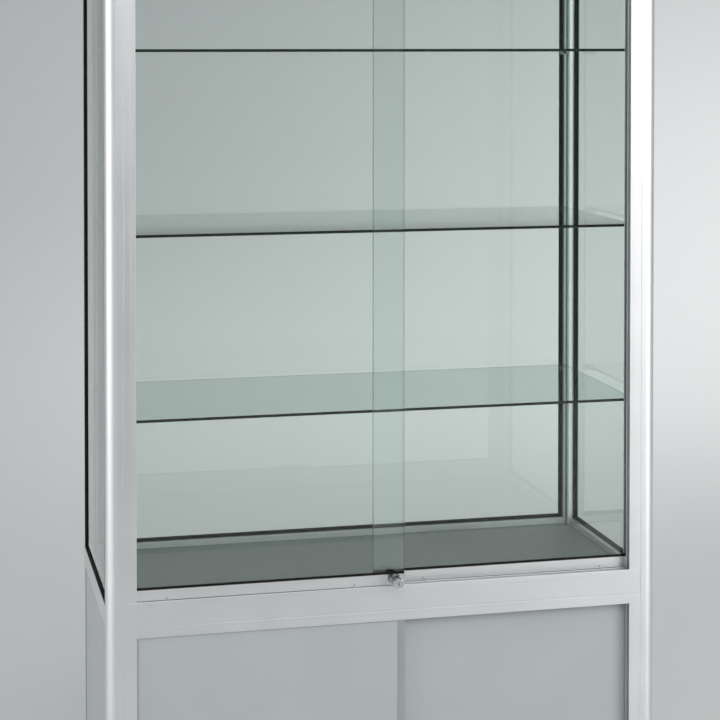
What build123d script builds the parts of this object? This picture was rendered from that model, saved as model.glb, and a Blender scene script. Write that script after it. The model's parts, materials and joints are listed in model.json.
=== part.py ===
from build123d import *
import os

# Millimetres, +Z up. The floor is at Z = 0, the front faces -Y and X = 0 is the middle of the width.

# Overall size.
width = 1000.0
depth = 440.0
height = 1900.0

# Levels of the frame.
foot_height = 25.0
mid_rail_z = 537.5
top_shelf_z = 1530.0
shelf_pitch = 321.0
shelf_count = 3

# Corner post extrusion.
post = 30.0
post_radius = 20.0
post_chamfer = 8.0
post_wall = 2.0
port_overlap = 0.5
port_bore = 4.05
pin_slot_mouth = 4.5
pin_slot_lip = 2.0
pin_slot_width = 7.0
pin_slot_depth = 4.0

# Rail extrusion and the glazing slot that posts and rails share.
rail_thick = 20.0
rail_high = 35.0
rail_wall = 2.0
front_recess = 0.8
slot_skin = 1.5
slot_width = 9.0
slot_depth = 8.0
ledge_thick = 2.0
ledge_level = 7.5

# Panes, gaskets and boards.
glass = 5.0
pane_grip = 5.0
gasket_width = 12.0
gasket_bead = 5.0
gasket_root = 7.0
gasket_clear = 0.2
board = 16.0
board_clear = 0.5
side_board = 8.0
side_board_grip = 6.0

# Sliding door tracks. The two channels lie one behind the other.
track_wall = 1.5
track_channel = 14.0
track_divider = 2.0
track_base = 2.0
track_lip = 10.0
track_hood = 17.5
track_rib = 2.0
track_rib_high = 5.0
hood_clear = 1.0
lift_room = 10.0

# Jamb extrusion beside each door opening.
jamb_width = 21.5
jamb_front_wall = 2.0
jamb_groove = 13.0
jamb_groove_depth = 12.0
jamb_spine = 1.5
pile_thick = 3.0
pile_width = 6.0

# Doors.
door_lap = 26.5
door_edge_gap = 0.5
shoe_thick = 12.0
shoe_high = 18.5
shoe_gap = 0.8
shoe_wall_over_channel = 1.8
seal_wall = 1.3
seal_proud = 2.8
seal_floor = 1.0
door_board = 10.0
door_floor_gap = 1.0
trim_reach = 12.0
trim_sheet = 1.2

# Rollers under the glass doors.
roller_radius = 7.0
roller_flange = 1.2
roller_groove = 2.6
roller_rim = 1.0
roller_gap = 0.1
roller_room = 0.5
spindle = 1.5
running_fit = 0.05
roller_inset = 60.0

# Lock on the front glass door.
lock_reach = 28.5
lock_block = 31.5
lock_edge_offset = 18.5
lock_collar_radius = 10.75
lock_collar_reach = 12.0
lock_neck_radius = 9.6
lock_neck_gap = 0.6
lock_barrel_radius = 8.75
lock_fit = 0.1
lock_stroke = 10.0
bolt_radius = 3.0
bolt_hole_radius = 3.6
plug_radius = 5.0
plug_depth = 12.0
keyway_thick = 1.4
keyway_high = 6.0
keyway_depth = 8.0

# Shelves and the pins that carry them.
shelf_track_gap = 7.0
shelf_post_gap = 2.0
pin_radius = 4.25
pin_length = 26.0
pin_neck = 2.0
pin_head = 3.2
pin_head_thick = 3.0
pin_dimple = 1.8
pin_dimple_depth = 3.0

# Feet and post caps.
pad_radius = 14.0
pad_thick = 8.0
foot_nut_radius = 7.5
foot_nut_thick = 6.0
foot_stem = 4.0
foot_grip = 20.0
cap_thick = 3.0
cap_plug_radius = 3.9
cap_plug_length = 8.0

# Places worked out from the sizes above.
left = -width / 2
right = width / 2
front = -(depth - lock_reach) / 2
back = front + depth
post_top = height - cap_thick
bottom_rail_z = foot_height
top_rail_z = post_top - rail_high
mid_rail_top = mid_rail_z + rail_high
deck_z = mid_rail_z + ledge_level
floor_z = bottom_rail_z + ledge_level
top_ledge = rail_high - board - 1.0
port_ring = post / 2 - slot_depth - slot_skin + port_overlap
ledge_reach = post - rail_thick
front_run = width - 2 * post
side_run = depth - 2 * post
track_depth = 2 * (track_wall + track_channel) + track_divider
shelf_front_gap = track_depth + shelf_track_gap
shelf_rear_gap = post + shelf_post_gap
front_lane = track_wall + track_channel / 2
rear_lane = front_lane + track_channel + track_divider
door_edge = front_run / 2 - jamb_width + jamb_groove_depth - pile_thick - door_edge_gap
shoe_z = mid_rail_top + track_lip + shoe_gap
shoe_top = shoe_z + shoe_high
rib_top = mid_rail_top + track_base + track_rib_high
roller_z = rib_top + roller_gap + roller_radius
roller_channel = roller_groove + 2 * (roller_rim + roller_room)
roller_channel_top = roller_z + roller_radius + roller_flange + roller_room
shoe_slot_z = roller_channel_top + shoe_wall_over_channel
glass_z = shoe_slot_z + seal_floor
glass_top = top_rail_z - track_base - lift_room
lock_z = shoe_z + shoe_high / 2
lock_x = door_lap - lock_edge_offset
BOTH_MIN = (Align.MIN, Align.MIN)

# Where each corner is, and the turn that points its section into the case.
corners = {
    "front_left": (left, front, 0),
    "front_right": (right, front, 90),
    "rear_right": (right, back, 180),
    "rear_left": (left, back, 270),
}

# Where each side starts, the turn that points its local X into the case, and its length.
sides = {
    "left": (left, front + post, 0, side_run),
    "rear": (left + post, back, -90, front_run),
    "right": (right, back - post, 180, side_run),
    "front": (right - post, front, 90, front_run),
}


def save(node, shape):
    """Write one node to its own file."""
    export_step(shape, f"parts/{node}.step")


def block(x_span, y_span, z_span):
    """A box given by its low and high value along each axis."""
    spans = (x_span, y_span, z_span)
    sizes = [high - low for low, high in spans]
    return Pos(*[low for low, high in spans]) * Box(*sizes, align=(Align.MIN,) * 3)


def rod(radius, y_span, x, z):
    """A round bar along Y."""
    length = y_span[1] - y_span[0]
    bar = Cylinder(radius, length, align=(Align.CENTER, Align.CENTER, Align.MIN))
    return Pos(x, y_span[0], z) * Rotation(-90, 0, 0) * bar


def at_corner(name, shape):
    """Move a shape drawn in corner coordinates to one corner of the case."""
    x, y, turn = corners[name]
    return Pos(x, y, 0) * Rotation(0, 0, turn) * shape


def on_side(name, shape):
    """Move a shape drawn with local X inwards and local Y along the side to that side."""
    x, y, turn, run = sides[name]
    return Pos(x, y, 0) * Rotation(0, 0, turn) * shape


def mirrored(shape):
    """The same shape on the other side of the middle."""
    return mirror(shape, about=Plane.YZ)


# Posts, rails and caps.

def post_outline(grow=0.0):
    """Square with a rounded outer corner and a flat cut across the inner one."""
    outline = Rectangle(post + grow, post + grow, align=BOTH_MIN)
    outer = outline.vertices().sort_by_distance((0, 0, 0))[0]
    outline = fillet(outer, post_radius)
    inner = outline.vertices().sort_by_distance((post, post, 0))[0]
    return chamfer(inner, post_chamfer)


def post_section():
    """Post extrusion: two glazing slots, a pin slot across the inner corner and a screw port."""
    cavity_end = post - slot_depth - slot_skin
    cavity = Pos(post_wall, post_wall) * Rectangle(
        cavity_end - post_wall, cavity_end - post_wall, align=BOTH_MIN
    )
    near = cavity.vertices().sort_by_distance((0, 0, 0))[0]
    cavity = fillet(near, post_radius - post_wall)
    port = Pos(post / 2, post / 2)
    along_x = Pos(post - slot_depth, slot_skin) * Rectangle(slot_depth, slot_width, align=BOTH_MIN)
    along_y = Pos(slot_skin, post - slot_depth) * Rectangle(slot_width, slot_depth, align=BOTH_MIN)
    face = post - post_chamfer / 2
    diagonal = Pos(face, face) * Rotation(0, 0, 45)
    mouth_depth = pin_slot_lip + pin_slot_depth / 2
    mouth = diagonal * Pos(-mouth_depth / 2, 0) * Rectangle(mouth_depth, pin_slot_mouth)
    chamber_middle = -pin_slot_lip - pin_slot_depth / 2
    chamber = diagonal * Pos(chamber_middle, 0) * Rectangle(pin_slot_depth, pin_slot_width)
    section = post_outline() - (cavity - port * Circle(port_ring)) - port * Circle(port_bore)
    return section - along_x - along_y - mouth - chamber


def make_posts():
    length = post_top - foot_height
    bar = Pos(0, 0, foot_height) * extrude(post_section(), length)
    for name in corners:
        save(f"post_{name}", at_corner(name, bar))


def make_post_caps():
    plate = Pos(0, 0, post_top) * extrude(post_outline(), cap_thick)
    plug = Pos(post / 2, post / 2, post_top - cap_plug_length) * Cylinder(
        cap_plug_radius, cap_plug_length, align=(Align.CENTER, Align.CENTER, Align.MIN)
    )
    save("post_caps", Compound([at_corner(name, plate + plug) for name in corners]))


def rail(run, level, slots, ledge):
    """Rail extrusion: a tube with glazing slots above or below and an inner ledge for a board."""
    y = (0, run)
    bar = block((0, rail_thick), y, (0, rail_high))
    slot_x = (slot_skin, slot_skin + slot_width)
    inner_x = (slot_x[1] + rail_wall, rail_thick - rail_wall)
    bar -= block(inner_x, y, (rail_wall, rail_high - rail_wall))
    bar -= block(
        (rail_wall, slot_x[1]), y, (slot_depth + rail_wall, rail_high - slot_depth - rail_wall)
    )
    if "top" in slots:
        bar -= block(slot_x, y, (rail_high - slot_depth, rail_high))
    if "bottom" in slots:
        bar -= block(slot_x, y, (0, slot_depth))
    bar += block((rail_thick, rail_thick + ledge_reach), y, (ledge - ledge_thick, ledge))
    return Pos(0, 0, level) * bar


def make_rails():
    levels = {
        "bottom": (bottom_rail_z, ("top",), ledge_level),
        "mid": (mid_rail_z, ("top", "bottom"), ledge_level),
        "top": (top_rail_z, ("bottom",), top_ledge),
    }
    for level, (z, slots, ledge) in levels.items():
        for side, (x, y, turn, run) in sides.items():
            if side == "front":
                bar = Pos(front_recess, 0, 0) * rail(run, z, (), ledge)
            else:
                bar = rail(run, z, slots, ledge)
            save(f"{level}_rail_{side}", on_side(side, bar))


# Fixed panes with their gaskets, and the boards that close the cabinet.

def make_glazing():
    rise = top_rail_z - mid_rail_top
    middle = gasket_width / 2
    root_half = slot_width / 2 - gasket_clear
    for side, node in (("left", "side"), ("right", "side"), ("rear", "back")):
        run = sides[side][3]

        def sheet(half, inset):
            """A slab round the middle of the slot, inset from the opening on all four edges."""
            slab = block(
                (middle - half, middle + half), (inset, run - inset), (inset, rise - inset)
            )
            return Pos(0, 0, mid_rail_top) * slab

        pane = Pos(slot_skin + slot_width / 2 - middle, 0, 0) * sheet(glass / 2, -pane_grip)
        beads = sheet(middle, 0) - sheet(middle, gasket_bead)
        root = sheet(root_half, -gasket_root) - sheet(root_half, 0)
        gasket = Pos(slot_skin + slot_width / 2 - middle, 0, 0) * (beads + root)
        name = "back" if node == "back" else f"side_{side}"
        save(f"{name}_glass", on_side(side, pane))
        save(f"{name}_gasket", on_side(side, gasket - pane))


def make_cabinet_walls():
    low = bottom_rail_z + rail_high - side_board_grip
    high = mid_rail_z + side_board_grip
    x_middle = slot_skin + slot_width / 2
    for side in ("left", "right", "rear"):
        run = sides[side][3]
        wall = block(
            (x_middle - side_board / 2, x_middle + side_board / 2),
            (-side_board_grip, run + side_board_grip),
            (low, high),
        )
        save(f"cabinet_wall_{side}", on_side(side, wall))


def ledge_board(level):
    """A board inside the four rails, notched round the posts."""
    inner = rail_thick + board_clear
    slab = block(
        (left + inner, right - inner),
        (front + front_recess + inner, back - inner),
        (level, level + board),
    )
    notch = Pos(0, 0, level) * extrude(post_outline(grow=board_clear), board)
    for name in corners:
        slab -= at_corner(name, notch)
    return slab


def make_boards():
    save("deck_panel", ledge_board(deck_z))
    save("cabinet_floor", ledge_board(floor_z))
    save("top_panel", ledge_board(top_rail_z + top_ledge))


# Door tracks and jambs.

def lower_track(level):
    """Two open channels, each with a rib that a roller or a grooved board runs on."""
    x_run = (left + post, right - post)
    z_low = level + track_base
    track = block(x_run, (front, front + track_depth), (level, level + track_lip))
    for lane in (front_lane, rear_lane):
        y = front + lane
        channel = block(
            x_run, (y - track_channel / 2, y + track_channel / 2), (z_low, level + track_lip)
        )
        rib = block(x_run, (y - track_rib / 2, y + track_rib / 2), (z_low, z_low + track_rib_high))
        track -= channel - rib
    return track


def upper_track(level, door_thick):
    """Two downward channels that hold the top edges of the doors."""
    x_run = (left + post, right - post)
    reach = door_thick / 2 + hood_clear
    track = block(x_run, (front, front + track_depth), (level - track_hood, level))
    for lane in (front_lane, rear_lane):
        y = front + lane
        track -= block(x_run, (y - reach, y + reach), (level - track_hood, level - track_base))
    return track


def make_tracks():
    save("glass_track_lower", lower_track(mid_rail_top))
    save("glass_track_upper", upper_track(top_rail_z, glass))
    save("cabinet_track_lower", lower_track(bottom_rail_z + rail_high))
    save("cabinet_track_upper", upper_track(mid_rail_z, door_board + 2 * trim_sheet))


def jamb_section():
    """Right-angled box with two door grooves, its back cut away to clear the shelf pins."""
    face = post - post_chamfer / 2
    pin_clear = 2 ** 0.5 * (pin_radius + board_clear)
    cut_start = post - pin_clear
    outline = Polyline(
        (0, 0),
        (jamb_width, 0),
        (jamb_width, track_depth),
        (track_depth - cut_start, track_depth),
        (0, cut_start),
        close=True,
    )
    section = make_face(outline)
    floor = jamb_width - jamb_groove_depth
    for lane in (front_lane, rear_lane):
        groove = Pos(floor, lane - jamb_groove / 2) * Rectangle(
            jamb_groove_depth, jamb_groove, align=BOTH_MIN
        )
        section -= groove
    hollow = Pos(jamb_spine, jamb_front_wall) * Rectangle(
        floor - 2 * jamb_spine, cut_start - 2 * jamb_front_wall, align=BOTH_MIN
    )
    tongue_half = slot_width / 2 - gasket_clear
    tongue = Pos(-gasket_root, slot_skin + slot_width / 2 - tongue_half) * Rectangle(
        gasket_root, 2 * tongue_half, align=BOTH_MIN
    )
    return section - hollow + tongue


def make_jambs():
    spans = {
        "glass": (mid_rail_top + track_lip, top_rail_z - track_hood),
        "cabinet": (bottom_rail_z + rail_high + track_lip, mid_rail_z - track_hood),
    }
    strips = []
    groove_floor = left + post + jamb_width - jamb_groove_depth
    for zone, (low, high) in spans.items():
        jamb = Pos(left + post, front, low) * extrude(jamb_section(), high - low)
        save(f"{zone}_jamb_left", jamb)
        save(f"{zone}_jamb_right", mirrored(jamb))
        for lane in (front_lane, rear_lane):
            y = front + lane
            strip = block(
                (groove_floor, groove_floor + pile_thick),
                (y - pile_width / 2, y + pile_width / 2),
                (low, high),
            )
            strips.append(strip if lane == front_lane else mirrored(strip))
    save("pile_strips", Compound(strips))


# Glass doors. Each is drawn as the front left one; the rear right one is its mirror in the next lane.

def shoe_body(x_span, y):
    """The bar that grips the bottom of a door pane."""
    bar = block(x_span, (y - shoe_thick / 2, y + shoe_thick / 2), (shoe_z, shoe_top))
    grip = glass / 2 + seal_wall
    return bar - block(x_span, (y - grip, y + grip), (shoe_slot_z, shoe_top))


def roller_places():
    return (-door_edge + roller_inset, door_lap - roller_inset - lock_block)


def door_shoe(x_span, y):
    """Carrier extrusion with a channel and spindle holes for the rollers."""
    half = roller_channel / 2
    shoe = shoe_body(x_span, y)
    shoe -= block(x_span, (y - half, y + half), (shoe_z, roller_channel_top))
    for x in roller_places():
        shoe -= rod(spindle + running_fit, (y - shoe_thick / 2, y + shoe_thick / 2), x, roller_z)
    return shoe


def door_seal(y):
    """Rubber channel between a door pane and its shoe."""
    grip = glass / 2 + seal_wall
    seal = block(
        (-door_edge, door_lap), (y - grip, y + grip), (shoe_slot_z, shoe_top + seal_proud)
    )
    return seal - door_pane(y)


def door_pane(y):
    return block((-door_edge, door_lap), (y - glass / 2, y + glass / 2), (glass_z, glass_top))


def roller(x, y):
    """Grooved wheel with its spindle, turning in the shoe."""
    rim = roller_groove / 2 + roller_rim
    wheel = rod(roller_radius + roller_flange, (y - rim, y + rim), x, roller_z)
    groove = rod(roller_radius + roller_flange, (y - roller_groove / 2, y + roller_groove / 2), x, roller_z)
    core = rod(roller_radius, (y - roller_groove / 2, y + roller_groove / 2), x, roller_z)
    axle = rod(spindle, (y - shoe_thick / 2, y + shoe_thick / 2), x, roller_z)
    return wheel - (groove - core) + axle


def make_glass_doors():
    y_front = front + front_lane
    y_rear = front + rear_lane
    save("door_pane_left", door_pane(y_front))
    save("door_pane_right", mirrored(door_pane(y_rear)))
    save("door_seal_left", door_seal(y_front))
    save("door_seal_right", mirrored(door_seal(y_rear)))
    save("door_shoe_left", door_shoe((-door_edge, door_lap - lock_block), y_front))
    rear_shoe = mirrored(door_shoe((-door_edge, door_lap), y_rear))
    bolt_hole = rod(bolt_hole_radius, (y_rear - shoe_thick, y_rear + shoe_thick), lock_x, lock_z)
    save("door_shoe_right", rear_shoe - bolt_hole)
    for place, x in zip(("outer", "inner"), roller_places()):
        save(f"roller_left_{place}", roller(x, y_front))
        save(f"roller_right_{place}", mirrored(roller(x, y_rear)))


# Lock: a block on the door shoe, a barrel that pushes in, and a plug that the key turns.

def make_lock():
    y_door = front + front_lane
    y_face = y_door - shoe_thick / 2
    y_inside = y_door + shoe_thick / 2
    y_collar = front - lock_collar_reach
    y_tip = front - lock_reach
    barrel_end = y_face - lock_stroke - board_clear
    housing = shoe_body((door_lap - lock_block, door_lap), y_door)
    housing += rod(lock_neck_radius, (y_collar, y_face), lock_x, lock_z)
    housing += rod(lock_collar_radius, (y_collar, front - lock_neck_gap), lock_x, lock_z)
    housing -= rod(lock_barrel_radius + lock_fit, (y_collar, y_face), lock_x, lock_z)
    housing -= rod(bolt_radius + lock_fit, (y_face, y_inside), lock_x, lock_z)
    barrel = rod(lock_barrel_radius, (y_tip, barrel_end), lock_x, lock_z)
    barrel += rod(bolt_radius, (barrel_end, y_inside), lock_x, lock_z)
    barrel -= rod(plug_radius + running_fit, (y_tip, y_tip + plug_depth), lock_x, lock_z)
    plug = rod(plug_radius, (y_tip, y_tip + plug_depth - board_clear), lock_x, lock_z)
    plug -= block(
        (lock_x - keyway_thick / 2, lock_x + keyway_thick / 2),
        (y_tip, y_tip + keyway_depth),
        (lock_z - keyway_high / 2, lock_z + keyway_high / 2),
    )
    save("lock_housing", housing)
    save("lock_barrel", barrel)
    save("lock_plug", plug)


# Cabinet doors.

def make_cabinet_doors():
    low = bottom_rail_z + rail_high + track_base + door_floor_gap
    high = mid_rail_z - track_base - lift_room
    groove_top = bottom_rail_z + rail_high + track_base + track_rib_high + roller_gap
    for side, lane in (("left", front_lane), ("right", rear_lane)):
        y = front + lane
        x_span = (-door_edge, door_lap)
        board_x = (x_span[0] + trim_sheet, x_span[1] - trim_sheet)
        y_span = (y - door_board / 2, y + door_board / 2)
        groove_y = (y - roller_groove / 2, y + roller_groove / 2)
        panel = block(board_x, y_span, (low, high)) - block(board_x, groove_y, (low, groove_top))
        trim_y = (y_span[0] - trim_sheet, y_span[1] + trim_sheet)
        trims = []
        for edge_x in ((x_span[0], x_span[0] + trim_reach), (x_span[1] - trim_reach, x_span[1])):
            trim = block(edge_x, trim_y, (low, high)) - block(board_x, y_span, (low, high))
            trims.append(trim - block(edge_x, groove_y, (low, groove_top)))
        trims = Compound(trims)
        if side == "right":
            panel = mirrored(panel)
            trims = mirrored(trims)
        save(f"cabinet_door_{side}", panel)
        save(f"cabinet_door_trims_{side}", trims)


# Shelves, pins and feet.

def make_shelves():
    pins = []
    for index in range(shelf_count):
        top = top_shelf_z - index * shelf_pitch
        shelf = block(
            (left + post, right - post),
            (front + shelf_front_gap, back - shelf_rear_gap),
            (top - glass, top),
        )
        save(f"shelf_{index + 1}", shelf)
        pin = shelf_pin(top - glass - pin_radius)
        pins += [at_corner(name, pin) for name in corners]
    save("shelf_pins", Compound(pins))


def shelf_pin(z):
    """Pin with a head held in the slot across a post's inner corner."""
    face = post - post_chamfer / 2
    centred = (Align.CENTER, Align.CENTER, Align.MIN)
    neck_length = pin_slot_lip + board_clear
    shape = Cylinder(pin_radius, pin_length, align=centred)
    shape -= Pos(0, 0, pin_length - pin_dimple_depth) * Cylinder(
        pin_dimple, pin_dimple_depth, align=centred
    )
    shape += Pos(0, 0, -neck_length) * Cylinder(pin_neck, neck_length, align=centred)
    shape += Pos(0, 0, -neck_length - pin_head_thick) * Cylinder(
        pin_head, pin_head_thick, align=centred
    )
    return Pos(face, face, z) * Rotation(0, 0, 45) * Rotation(0, 90, 0) * shape


def make_feet():
    centred = (Align.CENTER, Align.CENTER, Align.MIN)
    foot = Cylinder(pad_radius, pad_thick, align=centred)
    nut = extrude(RegularPolygon(foot_nut_radius, 6), foot_nut_thick)
    stem = Cylinder(foot_stem, foot_height + foot_grip - pad_thick, align=centred)
    foot = foot + Pos(0, 0, pad_thick) * nut + Pos(0, 0, pad_thick) * stem
    foot = Pos(post / 2, post / 2, 0) * foot
    save("feet", Compound([at_corner(name, foot) for name in corners]))


os.makedirs("parts", exist_ok=True)
make_posts()
make_post_caps()
make_rails()
make_glazing()
make_cabinet_walls()
make_boards()
make_tracks()
make_jambs()
make_glass_doors()
make_lock()
make_cabinet_doors()
make_shelves()
make_feet()
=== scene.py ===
import json
import math

import bmesh
import bpy
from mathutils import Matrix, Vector


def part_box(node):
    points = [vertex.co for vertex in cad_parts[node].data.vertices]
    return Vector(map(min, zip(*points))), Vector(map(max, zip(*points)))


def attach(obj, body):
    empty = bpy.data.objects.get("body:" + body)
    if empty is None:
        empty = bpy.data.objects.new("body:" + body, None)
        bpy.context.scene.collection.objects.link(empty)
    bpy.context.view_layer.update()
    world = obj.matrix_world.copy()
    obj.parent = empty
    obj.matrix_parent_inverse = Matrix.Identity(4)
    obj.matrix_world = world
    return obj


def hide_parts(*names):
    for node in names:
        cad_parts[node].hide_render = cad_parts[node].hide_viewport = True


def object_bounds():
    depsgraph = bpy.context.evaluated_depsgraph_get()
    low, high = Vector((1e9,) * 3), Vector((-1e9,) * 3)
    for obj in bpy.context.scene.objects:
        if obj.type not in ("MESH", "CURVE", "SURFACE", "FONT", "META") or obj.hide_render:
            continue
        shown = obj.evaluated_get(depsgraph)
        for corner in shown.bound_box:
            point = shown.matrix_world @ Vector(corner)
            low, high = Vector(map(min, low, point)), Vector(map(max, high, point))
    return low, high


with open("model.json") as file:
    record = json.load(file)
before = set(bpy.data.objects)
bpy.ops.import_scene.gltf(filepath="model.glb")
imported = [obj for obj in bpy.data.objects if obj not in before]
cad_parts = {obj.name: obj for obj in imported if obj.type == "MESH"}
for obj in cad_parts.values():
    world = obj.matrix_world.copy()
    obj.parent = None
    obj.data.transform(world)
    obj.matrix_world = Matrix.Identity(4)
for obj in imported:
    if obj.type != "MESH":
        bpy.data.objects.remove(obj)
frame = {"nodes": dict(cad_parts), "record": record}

bl_info = {
    "name": "Glass display showcase",
    "version": (1, 0, 0),
    "blender": (4, 5, 0),
    "location": "View3D > Sidebar > Showcase",
    "description": "Gives an aluminium and glass display showcase its finishes, fittings and studio",
    "category": "Object",
}

MM = 0.001
CAD_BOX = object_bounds()
BODY_OF = {
    node: body
    for body, nodes in frame["record"]["behaviour"]["bodies"].items()
    for node in nodes
}
RAIL_LEVELS = ("bottom", "mid", "top")
HANDS = ("left", "right")
ENDS = ("front", "rear")
ALONG_X, ALONG_Y, ALONG_Z = range(3)
UP = Vector((0, 0, 1))
SAME_POINT = 0.002 * MM
SAME_PLANE = math.radians(0.3)
SOFT_CORNER = math.radians(35)
PIN_SIDES = 32
PAD_SIDES = 48
PAD_RIBS = 4
NUT_SIDES = 6
STEM_SIDES = 20
# A ray may cross several panes and shelves, each with two faces, before it meets something solid.
RAY_BOUNCES = 20
CLEAR_CROSSINGS = 32


def linear(hex_colour):
    """An sRGB hex colour as the linear RGBA that shaders take."""
    channels = [int(hex_colour[i : i + 2], 16) / 255 for i in (0, 2, 4)]
    levels = [c / 12.92 if c <= 0.04045 else ((c + 0.055) / 1.055) ** 2.4 for c in channels]
    return (*levels, 1.0)


def colour_property(name, description, hex_colour):
    """A colour that the sidebar can change."""
    return bpy.props.FloatVectorProperty(
        name=name,
        description=description,
        subtype="COLOR",
        size=4,
        min=0.0,
        max=1.0,
        default=linear(hex_colour),
    )


def length_property(name, description, millimetres):
    """A length in metres that the sidebar can change, with its default given in millimetres."""
    return bpy.props.FloatProperty(
        name=name,
        description=description,
        unit="LENGTH",
        precision=5,
        min=0.0,
        default=millimetres * MM,
    )


class ShowcaseFinishes(bpy.types.PropertyGroup):
    """Colours and roughness of the showcase's materials."""

    aluminium: colour_property("Aluminium", "Colour of the anodised extrusions", "E0E1E2")
    aluminium_roughness: bpy.props.FloatProperty(
        name="Aluminium roughness",
        description="Roughness of the etched and anodised skin",
        subtype="FACTOR",
        min=0.0,
        max=1.0,
        default=0.46,
    )
    trim: colour_property("Trim", "Colour of the grey anodised trims on the cabinet doors", "B4B8BA")
    glass_tint: colour_property("Glass tint", "What a deep piece of the glass lets through", "00BC96")
    glass_density: bpy.props.FloatProperty(
        name="Glass density",
        description="How strongly the glass takes up light, per metre",
        min=0.0,
        default=18.0,
    )
    rubber: colour_property("Rubber", "Colour of the glazing gaskets", "0B0C0D")
    deck_board: colour_property("Deck board", "Colour of the deck, floor and top boards", "5A605E")
    door_board: colour_property("Door board", "Colour of the cabinet doors and walls", "A6ABAD")
    chrome: colour_property("Chrome", "Colour of the lock and the shelf pins", "C8C9CA")
    zinc: colour_property("Zinc", "Colour of the plated steel spindles and stems", "A9ABAE")
    nylon: colour_property("Nylon", "Colour of the rollers", "E2E0D8")
    pile: colour_property("Pile", "Colour of the pile strips", "1B1B1D")
    black_plastic: colour_property("Black plastic", "Colour of the feet", "1A1B1C")
    grey_plastic: colour_property("Grey plastic", "Colour of the post caps", "A4A7A9")


class ShowcaseSizes(bpy.types.PropertyGroup):
    """Sizes of the details that the finished pieces have."""

    metal_edge: length_property("Metal edge", "Radius on the edges of the extrusions", 0.5)
    glass_arris: length_property("Glass arris", "Width of the ground edge of the panes", 0.5)
    board_edge: length_property("Board edge", "Radius on the edges of the boards", 0.4)
    rubber_edge: length_property("Rubber edge", "Radius on the edges of the gaskets", 0.8)
    lock_edge: length_property("Lock edge", "Radius on the edges of the lock", 0.6)
    roller_edge: length_property("Roller edge", "Radius on the edges of the rollers", 0.3)
    cap_edge: length_property("Cap edge", "Radius on the edges of the post caps", 0.8)
    pin_chamfer: length_property("Pin chamfer", "Chamfer round the tip of a shelf pin", 0.5)
    pin_barrel: length_property("Pin barrel", "Length of a shelf pin in front of the post", 26.0)
    pin_bore_radius: length_property("Pin bore radius", "Radius of the bore in a pin's tip", 1.8)
    pin_bore_depth: length_property("Pin bore depth", "Depth of the bore in a pin's tip", 3.0)
    pin_head_radius: length_property("Pin head radius", "Radius of the head inside the post", 3.2)
    pin_head: length_property("Pin head", "Thickness of the head inside the post", 3.0)
    pin_neck_radius: length_property("Pin neck radius", "Radius of the neck through the post's skin", 2.0)
    foot_pad: length_property("Foot pad", "Height of a foot's moulded pad", 8.0)
    foot_nut: length_property("Foot nut", "Height of a foot's nut", 6.0)
    foot_nut_radius: length_property("Foot nut radius", "Radius of a foot's nut over its corners", 7.5)
    foot_stem_radius: length_property("Foot stem radius", "Radius of a foot's threaded stem", 4.0)
    thread_pitch: length_property("Thread pitch", "Pitch of the thread on a foot's stem", 1.25)
    tuft_spacing: length_property("Tuft spacing", "Distance between the tufts of a pile strip", 2.0)
    tuft_width: length_property("Tuft width", "Thickness of one tuft of pile", 1.4)
    tuft_lean: bpy.props.FloatProperty(
        name="Tuft lean",
        description="The most that a tuft leans to one side",
        subtype="ANGLE",
        default=math.radians(8),
    )
    pile_backing: length_property("Pile backing", "Thickness of the woven back of a pile strip", 0.8)


class ShowcaseStudio(bpy.types.PropertyGroup):
    """The camera's lens and the studio's sizes."""

    focal_length: bpy.props.FloatProperty(
        name="Focal length",
        description="Focal length of the camera's lens, in millimetres",
        min=1.0,
        default=93.98,
    )
    camera_right: bpy.props.FloatProperty(
        name="Camera right",
        description="Where the camera stands, to the right of the case's middle",
        unit="LENGTH",
        default=-0.820,
    )
    camera_distance: bpy.props.FloatProperty(
        name="Camera distance",
        description="How far the camera stands in front of the case's front face",
        unit="LENGTH",
        default=3.1957,
    )
    camera_height: bpy.props.FloatProperty(
        name="Camera height",
        description="Height of the lens over the floor",
        unit="LENGTH",
        default=1.5468,
    )
    camera_turn: bpy.props.FloatProperty(
        name="Camera turn",
        description="How far the camera looks to the right",
        subtype="ANGLE",
        default=math.radians(13.086),
    )
    camera_tilt: bpy.props.FloatProperty(
        name="Camera tilt",
        description="How far the camera looks down",
        subtype="ANGLE",
        default=math.radians(1.32),
    )
    shift_right: bpy.props.FloatProperty(
        name="Shift right",
        description="How far the lens is shifted to the right, as a share of the frame",
        default=0.0166,
    )
    shift_up: bpy.props.FloatProperty(
        name="Shift up",
        description="How far the lens is shifted up, as a share of the frame",
        default=-0.385,
    )
    studio: colour_property("Studio", "Colour of the floor and the wall round it", "D2D3D3")
    cloth: colour_property("Cloth", "Colour of the black flag", "101112")
    flag_distance: length_property("Flag distance", "How far the flag stands in front of the middle", 2600)
    flag_left: length_property("Flag left", "How far the flag reaches to the left", 400)
    flag_right: length_property("Flag right", "How far the flag reaches to the right", 1400)
    flag_height: length_property("Flag height", "Height of the flag", 1700)
    air: bpy.props.FloatVectorProperty(
        name="Air",
        description="Linear colour of the light from all round",
        subtype="COLOR",
        size=4,
        min=0.0,
        max=1.0,
        default=(0.9, 0.93, 0.95, 1.0),
    )
    air_strength: bpy.props.FloatProperty(
        name="Air strength",
        description="Radiance of the light from all round",
        min=0.0,
        default=0.5,
    )
    floor_radius: length_property("Floor radius", "How far the flat floor runs", 4000)
    cove_radius: length_property("Cove radius", "Radius of the curve from floor to wall", 7000)
    wall_height: length_property("Wall height", "Height of the studio's wall", 8500)


# ---- Nodes, materials and meshes ----


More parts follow.
